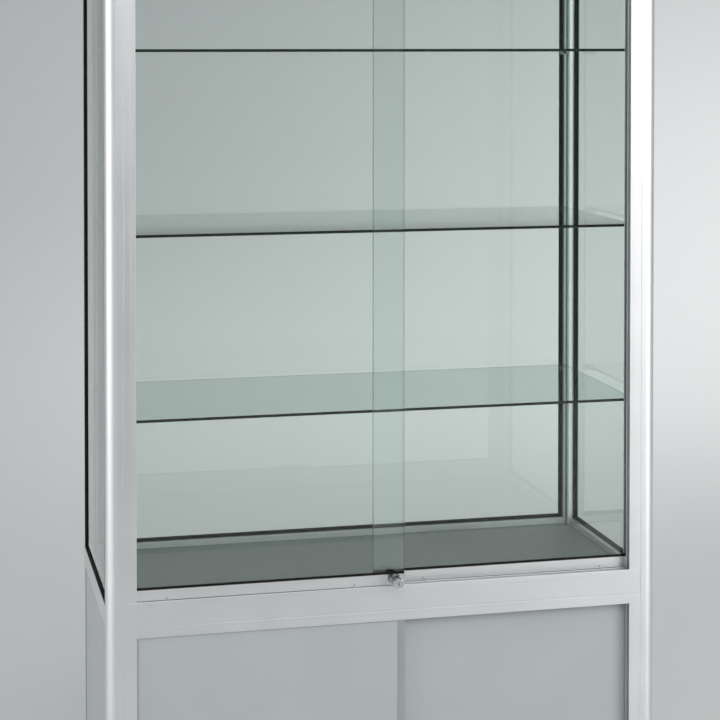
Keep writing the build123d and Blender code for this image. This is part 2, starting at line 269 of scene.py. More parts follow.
def add_node(tree, kind, inputs=(), **settings):
    """A new node with its settings. Each named or numbered input takes a value, or a link from a socket."""
    node = tree.nodes.new(kind)
    for name, value in settings.items():
        setattr(node, name, value)
    for key, value in dict(inputs).items():
        if isinstance(value, bpy.types.NodeSocket):
            tree.links.new(value, node.inputs[key])
        else:
            node.inputs[key].default_value = value
    return node


def new_material(name):
    """An empty material and its node tree."""
    material = bpy.data.materials.new(name)
    material.use_nodes = True
    material.node_tree.nodes.clear()
    return material, material.node_tree


def pattern(tree, spacing, detail=2.0):
    """Noise whose lumps are spacing apart, in metres, or spacing[i] apart along each axis of the piece."""
    spans = spacing if isinstance(spacing, tuple) else (spacing,) * 3
    place = add_node(tree, "ShaderNodeTexCoord").outputs["Object"]
    scaled = add_node(
        tree,
        "ShaderNodeMapping",
        {"Vector": place, "Scale": [1 / span for span in spans]},
    )
    noise = add_node(
        tree,
        "ShaderNodeTexNoise",
        {"Vector": scaled.outputs["Vector"], "Scale": 1.0, "Detail": detail},
    )
    return noise.outputs["Factor" if "Factor" in noise.outputs else "Fac"]


def spread(tree, factor, low, high):
    """Noise stretched from low to high. Most of it lies between 0.3 and 0.7 before that."""
    mapped = add_node(
        tree,
        "ShaderNodeMapRange",
        {"Value": factor, "From Min": 0.3, "From Max": 0.7, "To Min": low, "To Max": high},
    )
    return mapped.outputs["Result"]


def shaded(tree, factor, colour, darker):
    """The colour, darkened by up to that share where the noise is low."""
    dark = [channel * (1 - darker) for channel in colour[:3]] + [1.0]
    mixed = add_node(
        tree,
        "ShaderNodeMix",
        {0: spread(tree, factor, 0.0, 1.0), 6: dark, 7: list(colour)},
        data_type="RGBA",
    )
    return mixed.outputs[2]


def raised(tree, height, depth):
    """A normal bumped by the height, which stands for a real relief of that depth in metres."""
    return add_node(tree, "ShaderNodeBump", {"Height": height, "Distance": depth}).outputs["Normal"]


def surface_output(tree, surface, volume=None):
    """The end of a material's tree."""
    inputs = {"Surface": surface}
    if volume:
        inputs["Volume"] = volume
    add_node(tree, "ShaderNodeOutputMaterial", inputs)


def anodised_aluminium(name, colour, rough, run):
    """Extruded aluminium, etched and anodised: satin grey, with fine die lines that run along the bar."""
    material, tree = new_material(name)
    # Die lines lie about 0.1 mm apart. They are drawn 1.2 mm apart, so that they show.
    line_spacing = 1.2 * MM
    line_length = 700 * MM
    cloud = pattern(tree, 90 * MM)
    lines = pattern(tree, tuple(line_length if axis == run else line_spacing for axis in range(3)), 3.0)
    shader = add_node(
        tree,
        "ShaderNodeBsdfPrincipled",
        {
            "Base Color": shaded(tree, cloud, colour, 0.05),
            "Metallic": 1.0,
            "Roughness": spread(tree, lines, rough - 0.04, rough + 0.05),
            "Normal": raised(tree, lines, 0.012 * MM),
        },
    )
    surface_output(tree, shader.outputs["BSDF"])
    return material


def float_glass(finishes):
    """Polished float glass: clear face on, and dark green along an edge, seen through a depth of glass."""
    material, tree = new_material("clear_float_glass")
    # Handling leaves faint smears a hand's width across, which only soften a reflection.
    smears = pattern(tree, 110 * MM, 4.0)
    shader = add_node(
        tree,
        "ShaderNodeBsdfPrincipled",
        {
            "Base Color": (1.0, 1.0, 1.0, 1.0),
            "Transmission Weight": 1.0,
            "IOR": 1.52,
            "Roughness": spread(tree, smears, 0.0, 0.02),
        },
    )
    # A shadow ray goes straight through, so that the lamps light what stands behind the panes.
    clear = add_node(tree, "ShaderNodeBsdfTransparent", {"Color": (0.92, 0.92, 0.92, 1.0)})
    path = add_node(tree, "ShaderNodeLightPath")
    mixed = add_node(
        tree,
        "ShaderNodeMixShader",
        {0: path.outputs["Is Shadow Ray"], 1: shader.outputs["BSDF"], 2: clear.outputs["BSDF"]},
    )
    tint = add_node(
        tree,
        "ShaderNodeVolumeAbsorption",
        {"Color": finishes.glass_tint, "Density": finishes.glass_density},
    )
    surface_output(tree, mixed.outputs["Shader"], tint.outputs["Volume"])
    return material


def glazing_rubber(finishes):
    """Extruded rubber: dull black, with the fine drag marks and bloom of an extruded seal."""
    material, tree = new_material("glazing_rubber")
    bloom = pattern(tree, 25 * MM)
    grain = pattern(tree, 0.8 * MM)
    shader = add_node(
        tree,
        "ShaderNodeBsdfPrincipled",
        {
            "Base Color": shaded(tree, bloom, finishes.rubber, 0.3),
            "Specular IOR Level": 0.2,
            "Roughness": spread(tree, grain, 0.6, 0.8),
            "Normal": raised(tree, grain, 0.05 * MM),
        },
    )
    surface_output(tree, shader.outputs["BSDF"])
    return material


def melamine_board(name, colour):
    """Melamine-faced board, pressed against a pearl plate: an even, slightly pebbled grey skin."""
    material, tree = new_material(name)
    # The pearl pattern is about 0.5 mm across. It is drawn 1.6 mm across, so that it shows.
    pearl = pattern(tree, 1.6 * MM, 3.0)
    shade = pattern(tree, 130 * MM)
    shader = add_node(
        tree,
        "ShaderNodeBsdfPrincipled",
        {
            "Base Color": shaded(tree, shade, colour, 0.04),
            "IOR": 1.5,
            "Roughness": spread(tree, pearl, 0.34, 0.5),
            "Normal": raised(tree, pearl, 0.06 * MM),
        },
    )
    surface_output(tree, shader.outputs["BSDF"])
    return material


def chrome_plate(finishes):
    """Chromium plate on turned brass: a bright mirror, with the faint hair scratches of polishing."""
    material, tree = new_material("chrome_plate")
    scratches = pattern(tree, (0.3 * MM, 4 * MM, 0.3 * MM), 3.0)
    shader = add_node(
        tree,
        "ShaderNodeBsdfPrincipled",
        {
            "Base Color": shaded(tree, scratches, finishes.chrome, 0.04),
            "Metallic": 1.0,
            "Roughness": spread(tree, scratches, 0.07, 0.16),
        },
    )
    surface_output(tree, shader.outputs["BSDF"])
    return material


def zinc_plate(finishes):
    """Zinc-plated steel: a duller bluish metal, clouded by its passivation."""
    material, tree = new_material("zinc_plate")
    cloud = pattern(tree, 3 * MM, 4.0)
    shader = add_node(
        tree,
        "ShaderNodeBsdfPrincipled",
        {
            "Base Color": shaded(tree, cloud, finishes.zinc, 0.12),
            "Metallic": 1.0,
            "Roughness": spread(tree, cloud, 0.28, 0.42),
        },
    )
    surface_output(tree, shader.outputs["BSDF"])
    return material


def moulded_plastic(name, colour, low, high):
    """Injection-moulded plastic, from a spark-eroded mould: an even fine grain with a soft sheen."""
    material, tree = new_material(name)
    # The eroded grain is about 0.1 mm across. It is drawn 0.7 mm across, so that it shows.
    grain = pattern(tree, 0.7 * MM, 3.0)
    shader = add_node(
        tree,
        "ShaderNodeBsdfPrincipled",
        {
            "Base Color": shaded(tree, grain, colour, 0.06),
            "IOR": 1.5,
            "Roughness": spread(tree, grain, low, high),
            "Normal": raised(tree, grain, 0.04 * MM),
        },
    )
    surface_output(tree, shader.outputs["BSDF"])
    return material


def woven_pile(finishes):
    """Siliconised polypropylene pile on a woven back: black and soft, with a slight sheen on the fibre."""
    material, tree = new_material("woven_pile")
    fibres = pattern(tree, (0.4 * MM, 0.4 * MM, 0.4 * MM), 3.0)
    shader = add_node(
        tree,
        "ShaderNodeBsdfPrincipled",
        {
            "Base Color": shaded(tree, fibres, finishes.pile, 0.4),
            "IOR": 1.49,
            "Roughness": spread(tree, fibres, 0.7, 0.9),
            "Sheen Weight": 0.3,
            "Normal": raised(tree, fibres, 0.1 * MM),
        },
    )
    surface_output(tree, shader.outputs["BSDF"])
    return material


def painted_studio(colour):
    """Matt emulsion paint, rolled on: an even pale skin with hardly any grain."""
    material, tree = new_material("painted_studio")
    stipple = pattern(tree, 4 * MM)
    shader = add_node(
        tree,
        "ShaderNodeBsdfPrincipled",
        {
            "Base Color": shaded(tree, stipple, colour, 0.01),
            "Roughness": spread(tree, stipple, 0.8, 0.9),
        },
    )
    surface_output(tree, shader.outputs["BSDF"])
    return material


def black_cloth(colour):
    """Black wool cloth, as a studio's flags are made of: it gives the panes something dark to mirror."""
    material, tree = new_material("black_cloth")
    weave = pattern(tree, 3 * MM)
    shader = add_node(
        tree,
        "ShaderNodeBsdfPrincipled",
        {
            "Base Color": shaded(tree, weave, colour, 0.3),
            "Specular IOR Level": 0.1,
            "Roughness": spread(tree, weave, 0.85, 0.95),
        },
    )
    surface_output(tree, shader.outputs["BSDF"])
    return material


def finish(name):
    """The material of that name, made the first time that it is asked for."""
    made = bpy.data.materials.get(name)
    if made:
        return made
    finishes = bpy.context.scene.showcase_finishes
    rough = finishes.aluminium_roughness
    makers = {
        "anodised_aluminium_along_x": lambda: anodised_aluminium(name, finishes.aluminium, rough, ALONG_X),
        "anodised_aluminium_along_y": lambda: anodised_aluminium(name, finishes.aluminium, rough, ALONG_Y),
        "anodised_aluminium_along_z": lambda: anodised_aluminium(name, finishes.aluminium, rough, ALONG_Z),
        "grey_anodised_trim": lambda: anodised_aluminium(name, finishes.trim, rough, ALONG_Z),
        "clear_float_glass": lambda: float_glass(finishes),
        "glazing_rubber": lambda: glazing_rubber(finishes),
        "grey_melamine_board": lambda: melamine_board(name, finishes.deck_board),
        "light_melamine_board": lambda: melamine_board(name, finishes.door_board),
        "chrome_plate": lambda: chrome_plate(finishes),
        "zinc_plate": lambda: zinc_plate(finishes),
        "moulded_nylon": lambda: moulded_plastic(name, finishes.nylon, 0.35, 0.5),
        "black_polypropylene": lambda: moulded_plastic(name, finishes.black_plastic, 0.45, 0.6),
        "grey_polypropylene": lambda: moulded_plastic(name, finishes.grey_plastic, 0.4, 0.55),
        "woven_pile": lambda: woven_pile(finishes),
    }
    return makers[name]()


def merged_copy(node):
    """A bmesh copy of a CAD node, with its loose triangles joined and its flat faces whole again."""
    mesh = bmesh.new()
    mesh.from_mesh(frame["nodes"][node].data)
    bmesh.ops.remove_doubles(mesh, verts=mesh.verts, dist=SAME_POINT)
    bmesh.ops.dissolve_limit(mesh, angle_limit=SAME_PLANE, verts=mesh.verts, edges=mesh.edges)
    return mesh


def new_piece(name, mesh_data, materials):
    """A linked object at the origin, with its materials on."""
    piece = bpy.data.objects.new(name, mesh_data)
    bpy.context.scene.collection.objects.link(piece)
    mesh_data.materials.clear()
    for made in materials:
        mesh_data.materials.append(made)
    return piece


def hand_over(piece, *nodes):
    """Let the piece stand for these CAD nodes, on their body, with the nodes hidden."""
    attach(piece, BODY_OF[nodes[0]])
    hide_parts(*nodes)
    return piece


def settled(piece):
    """The piece's mesh with its modifiers worked in, and the modifiers gone."""
    graph = bpy.context.evaluated_depsgraph_get()
    graph.update()
    mesh_data = bpy.data.meshes.new_from_object(piece.evaluated_get(graph))
    piece.modifiers.clear()
    piece.data = mesh_data
    return piece


def keep_inside(piece, node):
    """Holds the piece within the node's box, which easing an edge can leave by a hair."""
    low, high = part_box(node)
    for vert in piece.data.vertices:
        vert.co = [min(max(vert.co[i], low[i]), high[i]) for i in range(3)]


def eased_piece(node, materials, edge, segments=2):
    """A copy of a CAD node with its sharp edges eased, standing in the node's place."""
    mesh = merged_copy(node)
    mesh_data = bpy.data.meshes.new(node + "_mesh")
    mesh.to_mesh(mesh_data)
    mesh.free()
    mesh_data.shade_smooth()
    mesh_data.set_sharp_from_angle(angle=SOFT_CORNER)
    piece = new_piece(node + "_piece", mesh_data, materials)
    easing = piece.modifiers.new("Eased edges", "BEVEL")
    easing.width = edge
    easing.segments = segments
    easing.limit_method = "ANGLE"
    easing.angle_limit = SOFT_CORNER
    easing.use_clamp_overlap = True
    shading = piece.modifiers.new("Even shading", "WEIGHTED_NORMAL")
    shading.keep_sharp = False
    settled(piece)
    keep_inside(piece, node)
    return hand_over(piece, node)


def islands(node):
    """The vertices of each separate solid of a CAD node, as lists of points, in the order of their places."""
    mesh = merged_copy(node)
    left_over = set(mesh.verts)
    found = []
    while left_over:
        reached = [left_over.pop()]
        for vert in reached:
            for edge in vert.link_edges:
                other = edge.other_vert(vert)
                if other in left_over:
                    left_over.remove(other)
                    reached.append(other)
        found.append([vert.co.copy() for vert in reached])
    mesh.free()
    return sorted(found, key=lambda points: tuple(extent(points)[0]))


def extent(points):
    """The lowest and the highest corner of some points."""
    low = Vector([min(point[i] for point in points) for i in range(3)])
    high = Vector([max(point[i] for point in points) for i in range(3)])
    return low, high


def turned(mesh, profile, steps):
    """Adds a solid turned round the Z axis from (radius, height) points, which start and end on the axis."""
    rings = []
    for radius, height in profile:
        if radius == 0:
            rings.append([mesh.verts.new((0, 0, height))])
            continue
        angles = [2 * math.pi * step / steps for step in range(steps)]
        rings.append([mesh.verts.new((radius * math.cos(a), radius * math.sin(a), height)) for a in angles])
    for lower, upper in zip(rings, rings[1:]):
        for step in range(steps):
            after = (step + 1) % steps
            if len(lower) == 1:
                corners = (lower[0], upper[step], upper[after])
            elif len(upper) == 1:
                corners = (lower[after], lower[step], upper[0])
            else:
                corners = (lower[step], upper[step], upper[after], lower[after])
            mesh.faces.new(corners)


def finished_mesh(name, mesh):
    """A bmesh as mesh data, with its faces outward and its soft corners smooth."""
    bmesh.ops.recalc_face_normals(mesh, faces=mesh.faces)
    mesh_data = bpy.data.meshes.new(name)
    mesh.to_mesh(mesh_data)
    mesh.free()
    mesh_data.shade_smooth()
    mesh_data.set_sharp_from_angle(angle=SOFT_CORNER)
    return mesh_data


def new_tree(name, sockets):
    """An empty Geometry Nodes tree with named inputs and one geometry output."""
    tree = bpy.data.node_groups.new(name, "GeometryNodeTree")
    tree.interface.new_socket("Geometry", in_out="INPUT", socket_type="NodeSocketGeometry")
    for socket_name, kind in sockets:
        tree.interface.new_socket(socket_name, in_out="INPUT", socket_type=kind)
    tree.interface.new_socket("Geometry", in_out="OUTPUT", socket_type="NodeSocketGeometry")
    return tree, add_node(tree, "NodeGroupInput")


def run_tree(piece, tree, values):
    """Puts the tree on the piece with its inputs set, and turns the result into a plain mesh."""
    modifier = piece.modifiers.new(tree.name, "NODES")
    modifier.node_group = tree
    for item in tree.interface.items_tree:
        if item.in_out == "INPUT" and item.name in values:
            modifier[item.identifier] = values[item.name]
    return settled(piece)


def copies_tree():
    """Geometry Nodes: a copy of one fitting on each point, turned as the point says."""
    tree, inputs = new_tree(
        "Fittings on points",
        [
            ("Fitting", "NodeSocketObject"),
            ("Body Material", "NodeSocketMaterial"),
            ("Plated Material", "NodeSocketMaterial"),
        ],
    )
    fitting = add_node(tree, "GeometryNodeObjectInfo", {"Object": inputs.outputs["Fitting"]})
    points = add_node(tree, "GeometryNodeMeshToPoints", {"Mesh": inputs.outputs["Geometry"]})
    turn = add_node(tree, "GeometryNodeInputNamedAttribute", {"Name": "turn"}, data_type="FLOAT_VECTOR")
    placed = add_node(
        tree,
        "GeometryNodeInstanceOnPoints",
        {
            "Points": points.outputs["Points"],
            "Instance": fitting.outputs["Geometry"],
            "Rotation": turn.outputs["Attribute"],
        },
    )
    real = add_node(tree, "GeometryNodeRealizeInstances", {"Geometry": placed.outputs["Instances"]})
    body = add_node(
        tree,
        "GeometryNodeSetMaterial",
        {"Geometry": real.outputs["Geometry"], "Material": inputs.outputs["Body Material"]},
    )
    plated = add_node(tree, "GeometryNodeInputNamedAttribute", {"Name": "plated"}, data_type="BOOLEAN")
    whole = add_node(
        tree,
        "GeometryNodeSetMaterial",
        {
            "Geometry": body.outputs["Geometry"],
            "Selection": plated.outputs["Attribute"],
            "Material": inputs.outputs["Plated Material"],
        },
    )
    add_node(tree, "NodeGroupOutput", {"Geometry": whole.outputs["Geometry"]})
    return tree


def pile_tree():
    """Geometry Nodes: tufts that stand on the brushed side of a strip's back, each leaning its own way."""
    tree, inputs = new_tree(
        "Pile on a back",
        [
            ("Spacing", "NodeSocketFloat"),
            ("Width", "NodeSocketFloat"),
            ("Height", "NodeSocketFloat"),
            ("Lean", "NodeSocketFloat"),
            ("Seed", "NodeSocketInt"),
            ("Material", "NodeSocketMaterial"),
        ],
    )
    sockets = inputs.outputs
    square = add_node(tree, "ShaderNodeMath", {0: sockets["Spacing"], 1: -2.0}, operation="POWER")
    brushed = add_node(tree, "GeometryNodeInputNamedAttribute", {"Name": "brushed"}, data_type="BOOLEAN")
    points = add_node(
        tree,
        "GeometryNodeDistributePointsOnFaces",
        {
            "Mesh": sockets["Geometry"],
            "Selection": brushed.outputs["Attribute"],
            "Density": square.outputs["Value"],
            "Seed": sockets["Seed"],
        },
    )
    back_lean = add_node(tree, "ShaderNodeMath", {0: sockets["Lean"], 1: -1.0}, operation="MULTIPLY")
    lean = add_node(
        tree,
        "FunctionNodeRandomValue",
        {"Min": back_lean.outputs["Value"], "Max": sockets["Lean"], "Seed": sockets["Seed"]},
        data_type="FLOAT_VECTOR",
    )
    leaning = add_node(
        tree,
        "FunctionNodeRotateRotation",
        {"Rotation": points.outputs["Rotation"], "Rotate By": lean.outputs["Value"]},
        rotation_space="LOCAL",
    )
    root = add_node(tree, "ShaderNodeMath", {0: sockets["Width"], 1: 2.0}, operation="DIVIDE")
    tip = add_node(tree, "ShaderNodeMath", {0: sockets["Width"], 1: 4.0}, operation="DIVIDE")
    tuft = add_node(
        tree,
        "GeometryNodeMeshCone",
        {
            "Vertices": 5,
            "Radius Bottom": root.outputs["Value"],
            "Radius Top": tip.outputs["Value"],
            "Depth": sockets["Height"],
        },
    )
    placed = add_node(
        tree,
        "GeometryNodeInstanceOnPoints",
        {
            "Points": points.outputs["Points"],
            "Instance": tuft.outputs["Mesh"],
            "Rotation": leaning.outputs["Rotation"],
        },
    )
    whole = add_node(tree, "GeometryNodeJoinGeometry")
    tree.links.new(placed.outputs["Instances"], whole.inputs["Geometry"])
    tree.links.new(sockets["Geometry"], whole.inputs["Geometry"])
    real = add_node(tree, "GeometryNodeRealizeInstances", {"Geometry": whole.outputs["Geometry"]})
    coloured = add_node(
        tree,
        "GeometryNodeSetMaterial",
        {"Geometry": real.outputs["Geometry"], "Material": sockets["Material"]},
    )
    add_node(tree, "NodeGroupOutput", {"Geometry": coloured.outputs["Geometry"]})
    return tree


# ---- Shapes that are turned or built here ----


def pin_place(points):
    """Where a shelf pin's tail is, and the way that it points: level, and slantwise into the case."""
    low, high = extent(points)
    middle = (low + high) / 2
    case_middle = (CAD_BOX[0] + CAD_BOX[1]) / 2
    way = Vector((-math.copysign(1, middle.x), -math.copysign(1, middle.y - case_middle.y), 0)).normalized()
    side = way.cross(UP)
    along = [point.dot(way) for point in points]
    across = [point.dot(side) for point in points]
    tail = way * min(along) + side * (min(across) + max(across)) / 2
    tail.z = middle.z
    return tail, way, max(along) - min(along), (high.z - low.z) / 2


def turned_pin(sizes, length, radius):
    """A shelf pin on the Z axis: a head and a neck that sit in the post, and a bored barrel."""
    face = length - sizes.pin_barrel
    chamfer = sizes.pin_chamfer
    bore_floor = length - sizes.pin_bore_depth
    mesh = bmesh.new()
    profile = [
        (0, 0),
        (sizes.pin_head_radius, 0),
        (sizes.pin_head_radius, sizes.pin_head),
        (sizes.pin_neck_radius, sizes.pin_head),
        (sizes.pin_neck_radius, face),
        (radius - chamfer, face),
        (radius, face + chamfer),
        (radius, length - chamfer),
        (radius - chamfer, length),
        (sizes.pin_bore_radius + chamfer / 2, length),
        (sizes.pin_bore_radius, length - chamfer / 2),
        (sizes.pin_bore_radius, bore_floor),
        (0, bore_floor),
    ]
    turned(mesh, profile, PIN_SIDES)
    return fitting("shelf_pin", mesh)


def turned_foot(sizes, low, high):
    """A levelling foot on the Z axis: a ribbed pad, a hexagonal nut and a threaded stem."""
    mesh = bmesh.new()
    radius = (high.x - low.x) / 2
    pad = sizes.foot_pad
    edge = pad / 6
    profile = [(0, 0), (radius - edge, 0), (radius, edge)]
    for rib in range(PAD_RIBS):
        level = edge + (pad - 3 * edge) * (rib + 1) / PAD_RIBS
        profile += [(radius, level - edge / 2), (radius - edge / 2, level - edge / 4), (radius, level)]
    profile += [(radius - 2 * edge, pad), (0, pad)]
    turned(mesh, profile, PAD_SIDES)
    pad_faces = len(mesh.faces)
    nut_top = pad + sizes.foot_nut
    corner = sizes.foot_nut_radius
    crown = corner * 0.9
    nut = [(0, pad), (corner, pad), (corner, nut_top - edge / 2), (crown, nut_top), (0, nut_top)]
    turned(mesh, nut, NUT_SIDES)
    stem_top = high.z - low.z
    crest = sizes.foot_stem_radius
    pitch = sizes.thread_pitch
    thread = [(0, pad), (crest, pad)]
    turns = int((stem_top - pad) / pitch) - 1
    for turn in range(turns):
        level = pad + (turn + 1) * pitch
        thread.append((crest - pitch / 3, level - pitch / 2))
        thread.append((crest, level))
    thread += [(crest - pitch / 2, stem_top), (0, stem_top)]
    turned(mesh, thread, STEM_SIDES)
    return fitting("levelling_foot", mesh, pad_faces)


def fitting(name, mesh, plated_from=0):
    """A fitting to copy, whose faces from that one on are plated."""
    mesh_data = finished_mesh(name, mesh)
    plated = mesh_data.attributes.new("plated", "BOOLEAN", "FACE")
    for index, value in enumerate(plated.data):
        value.value = index >= plated_from
    return new_piece(name, mesh_data, [])


def set_fittings(name, template, places, body_material, plated_material):
    """Copies of the template on all the places, as one piece. A place is a point and the way it faces."""
    seats = bpy.data.meshes.new(name + "_seats")
    seats.from_pydata([point for point, _ in places], [], [])
    turns = seats.attributes.new("turn", "FLOAT_VECTOR", "POINT")
    for turn, (_, way) in zip(turns.data, places):
        turn.vector = way.to_track_quat("Z", "Y").to_euler()
    piece = new_piece(name, seats, [])
    values = {"Fitting": template, "Body Material": body_material, "Plated Material": plated_material}
    run_tree(piece, copies_tree(), values)
    bpy.data.objects.remove(template)
    return piece


def brush_back(mesh, low, high, thick):
    """Adds the back of one pile strip, a thin bar against the groove's floor."""
    across = (low.x, low.x + thick) if low.x < 0 else (high.x - thick, high.x)
    corners = [Vector((x, y, z)) for x in across for y in (low.y, high.y) for z in (low.z, high.z)]
    verts = [mesh.verts.new(corner) for corner in corners]
    for loop in ((0, 1, 3, 2), (4, 6, 7, 5), (0, 4, 5, 1), (2, 3, 7, 6), (0, 2, 6, 4), (1, 5, 7, 3)):
        mesh.faces.new([verts[i] for i in loop])


# ---- The pieces ----


class SHOWCASE_OT_frame_bars(bpy.types.Operator):
    """Finish the corner posts and the rails, each with its grain along its length"""

    bl_idname = "showcase.frame_bars"
    bl_label = "Posts and rails"

    def execute(self, context):
        edge = context.scene.showcase_sizes.metal_edge
        upright = [finish("anodised_aluminium_along_z")]
        across = [finish("anodised_aluminium_along_x")]
        fore_and_aft = [finish("anodised_aluminium_along_y")]
        for end in ENDS:
            for hand in HANDS:
                eased_piece(f"post_{end}_{hand}", upright, edge)
        for level in RAIL_LEVELS:
            for end in ENDS:
                eased_piece(f"{level}_rail_{end}", across, edge)
            for hand in HANDS:
                eased_piece(f"{level}_rail_{hand}", fore_and_aft, edge)
        return {"FINISHED"}


class SHOWCASE_OT_tracks(bpy.types.Operator):
    """Finish the door tracks, and the jambs that the doors close into"""

    bl_idname = "showcase.tracks"
    bl_label = "Tracks and jambs"

    def execute(self, context):
        edge = context.scene.showcase_sizes.metal_edge
        for zone in ("glass", "cabinet"):
            for level in ("lower", "upper"):
                eased_piece(f"{zone}_track_{level}", [finish("anodised_aluminium_along_x")], edge)
            for hand in HANDS:
                eased_piece(f"{zone}_jamb_{hand}", [finish("anodised_aluminium_along_z")], edge)
        return {"FINISHED"}


class SHOWCASE_OT_glazing(bpy.types.Operator):
    """Finish the fixed panes and the rubber gaskets round them"""

    bl_idname = "showcase.glazing"
    bl_label = "Fixed panes"

    def execute(self, context):
        sizes = context.scene.showcase_sizes
        for place in ("side_left", "side_right", "back"):
            eased_piece(f"{place}_glass", [finish("clear_float_glass")], sizes.glass_arris, segments=1)
            eased_piece(f"{place}_gasket", [finish("glazing_rubber")], sizes.rubber_edge, segments=3)
        return {"FINISHED"}


class SHOWCASE_OT_shelves(bpy.types.Operator):
    """Finish the glass shelves, with a ground arris along every edge"""

    bl_idname = "showcase.shelves"
    bl_label = "Shelves"

    def execute(self, context):
        arris = context.scene.showcase_sizes.glass_arris
        for node in sorted(frame["nodes"]):
            if node.startswith("shelf_") and node != "shelf_pins":
                eased_piece(node, [finish("clear_float_glass")], arris, segments=1)
        return {"FINISHED"}


class SHOWCASE_OT_shelf_pins(bpy.types.Operator):
    """Turn one chromed shelf pin with a bored tip, and set a copy of it under every shelf corner"""

    bl_idname = "showcase.shelf_pins"
    bl_label = "Shelf pins"

    def execute(self, context):
        pins = [pin_place(points) for points in islands("shelf_pins")]
        _, _, length, radius = pins[0]
        template = turned_pin(context.scene.showcase_sizes, length, radius)
        places = [(tail, way) for tail, way, _, _ in pins]
        chrome = finish("chrome_plate")
        piece = set_fittings("shelf_pins_piece", template, places, chrome, chrome)
        hand_over(piece, "shelf_pins")
        return {"FINISHED"}


class SHOWCASE_OT_glass_doors(bpy.types.Operator):
    """Finish the two glass doors: pane, seal and shoe"""

    bl_idname = "showcase.glass_doors"
    bl_label = "Glass doors"

    def execute(self, context):
        sizes = context.scene.showcase_sizes
        for hand in HANDS:
            eased_piece(f"door_pane_{hand}", [finish("clear_float_glass")], sizes.glass_arris, segments=1)
            eased_piece(f"door_seal_{hand}", [finish("glazing_rubber")], sizes.rubber_edge, segments=3)
            eased_piece(f"door_shoe_{hand}", [finish("anodised_aluminium_along_x")], sizes.metal_edge)
        return {"FINISHED"}


class SHOWCASE_OT_rollers(bpy.types.Operator):
    """Finish the rollers under the glass doors, as a nylon wheel on a steel spindle"""

    bl_idname = "showcase.rollers"
    bl_label = "Rollers"

    spindle_radius: length_property("Spindle radius", "Radius of the steel spindle", 2.2)

    def execute(self, context):
        edge = context.scene.showcase_sizes.roller_edge
        finishes = [finish("moulded_nylon"), finish("zinc_plate")]
        for hand in HANDS:
            for place in ("inner", "outer"):
                node = f"roller_{hand}_{place}"
                low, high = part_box(node)
                middle = (low + high) / 2
                piece = eased_piece(node, finishes, edge)
                for face in piece.data.polygons:
                    off_axis = math.hypot(face.center.x - middle.x, face.center.z - middle.z)
                    face.material_index = int(off_axis < self.spindle_radius)
        return {"FINISHED"}


class SHOWCASE_OT_lock(bpy.types.Operator):
    """Finish the push lock on the front door, with its keyed plug"""

    bl_idname = "showcase.lock"
    bl_label = "Lock"

    def execute(self, context):
        edge = context.scene.showcase_sizes.lock_edge
        for part in ("housing", "barrel"):
            eased_piece(f"lock_{part}", [finish("chrome_plate")], edge, segments=3)
        eased_piece("lock_plug", [finish("chrome_plate")], edge / 3)
        return {"FINISHED"}


class SHOWCASE_OT_boards(bpy.types.Operator):
    """Finish the boards of the case: the deck, the floor, the top and the cabinet's walls"""

    bl_idname = "showcase.boards"
    bl_label = "Boards"

    def execute(self, context):
        edge = context.scene.showcase_sizes.board_edge
        for node in ("deck_panel", "cabinet_floor", "top_panel"):
            eased_piece(node, [finish("grey_melamine_board")], edge)
        for place in (*HANDS, "rear"):
            eased_piece(f"cabinet_wall_{place}", [finish("light_melamine_board")], edge)
        return {"FINISHED"}


class SHOWCASE_OT_cabinet_doors(bpy.types.Operator):
    """Finish the two sliding cabinet doors and the metal trims on their edges"""

    bl_idname = "showcase.cabinet_doors"
    bl_label = "Cabinet doors"

    def execute(self, context):
        sizes = context.scene.showcase_sizes
        for hand in HANDS:
            eased_piece(f"cabinet_door_{hand}", [finish("light_melamine_board")], sizes.board_edge)
            trims = f"cabinet_door_trims_{hand}"
            eased_piece(trims, [finish("grey_anodised_trim")], sizes.metal_edge)
        return {"FINISHED"}


class SHOWCASE_OT_pile_strips(bpy.types.Operator):
    """Brush the grooves of the jambs: a woven back, with tufts of pile along it"""

    bl_idname = "showcase.pile_strips"
    bl_label = "Pile strips"

    def execute(self, context):
        sizes = context.scene.showcase_sizes
        strips = [extent(points) for points in islands("pile_strips")]
        backs = bmesh.new()
        for low, high in strips:
            brush_back(backs, low, high, sizes.pile_backing)
        mesh_data = finished_mesh("pile_strips_mesh", backs)
        brushed = mesh_data.attributes.new("brushed", "BOOLEAN", "FACE")
        for face, flag in zip(mesh_data.polygons, brushed.data):
            flag.value = face.normal.x * face.center.x < 0 and abs(face.normal.x) > abs(face.normal.y)
        low, high = strips[0]
        values = {
            "Spacing": sizes.tuft_spacing,
            "Width": sizes.tuft_width,
            "Height": high.x - low.x - sizes.pile_backing,
            "Lean": sizes.tuft_lean,
            "Seed": 7,
            "Material": finish("woven_pile"),
        }
        piece = new_piece("pile_strips_piece", mesh_data, [])
        run_tree(piece, pile_tree(), values)
        hand_over(piece, "pile_strips")
        return {"FINISHED"}


class SHOWCASE_OT_feet(bpy.types.Operator):
    """Set a levelling foot under every post: a moulded pad, a nut and a threaded stem"""

    bl_idname = "showcase.feet"
    bl_label = "Feet"

    def execute(self, context):
        feet = [extent(points) for points in islands("feet")]
        template = turned_foot(context.scene.showcase_sizes, *feet[0])
        places = [(Vector(((low.x + high.x) / 2, (low.y + high.y) / 2, low.z)), UP) for low, high in feet]
        finishes = (finish("black_polypropylene"), finish("zinc_plate"))
        piece = set_fittings("feet_piece", template, places, *finishes)
        hand_over(piece, "feet")
        return {"FINISHED"}


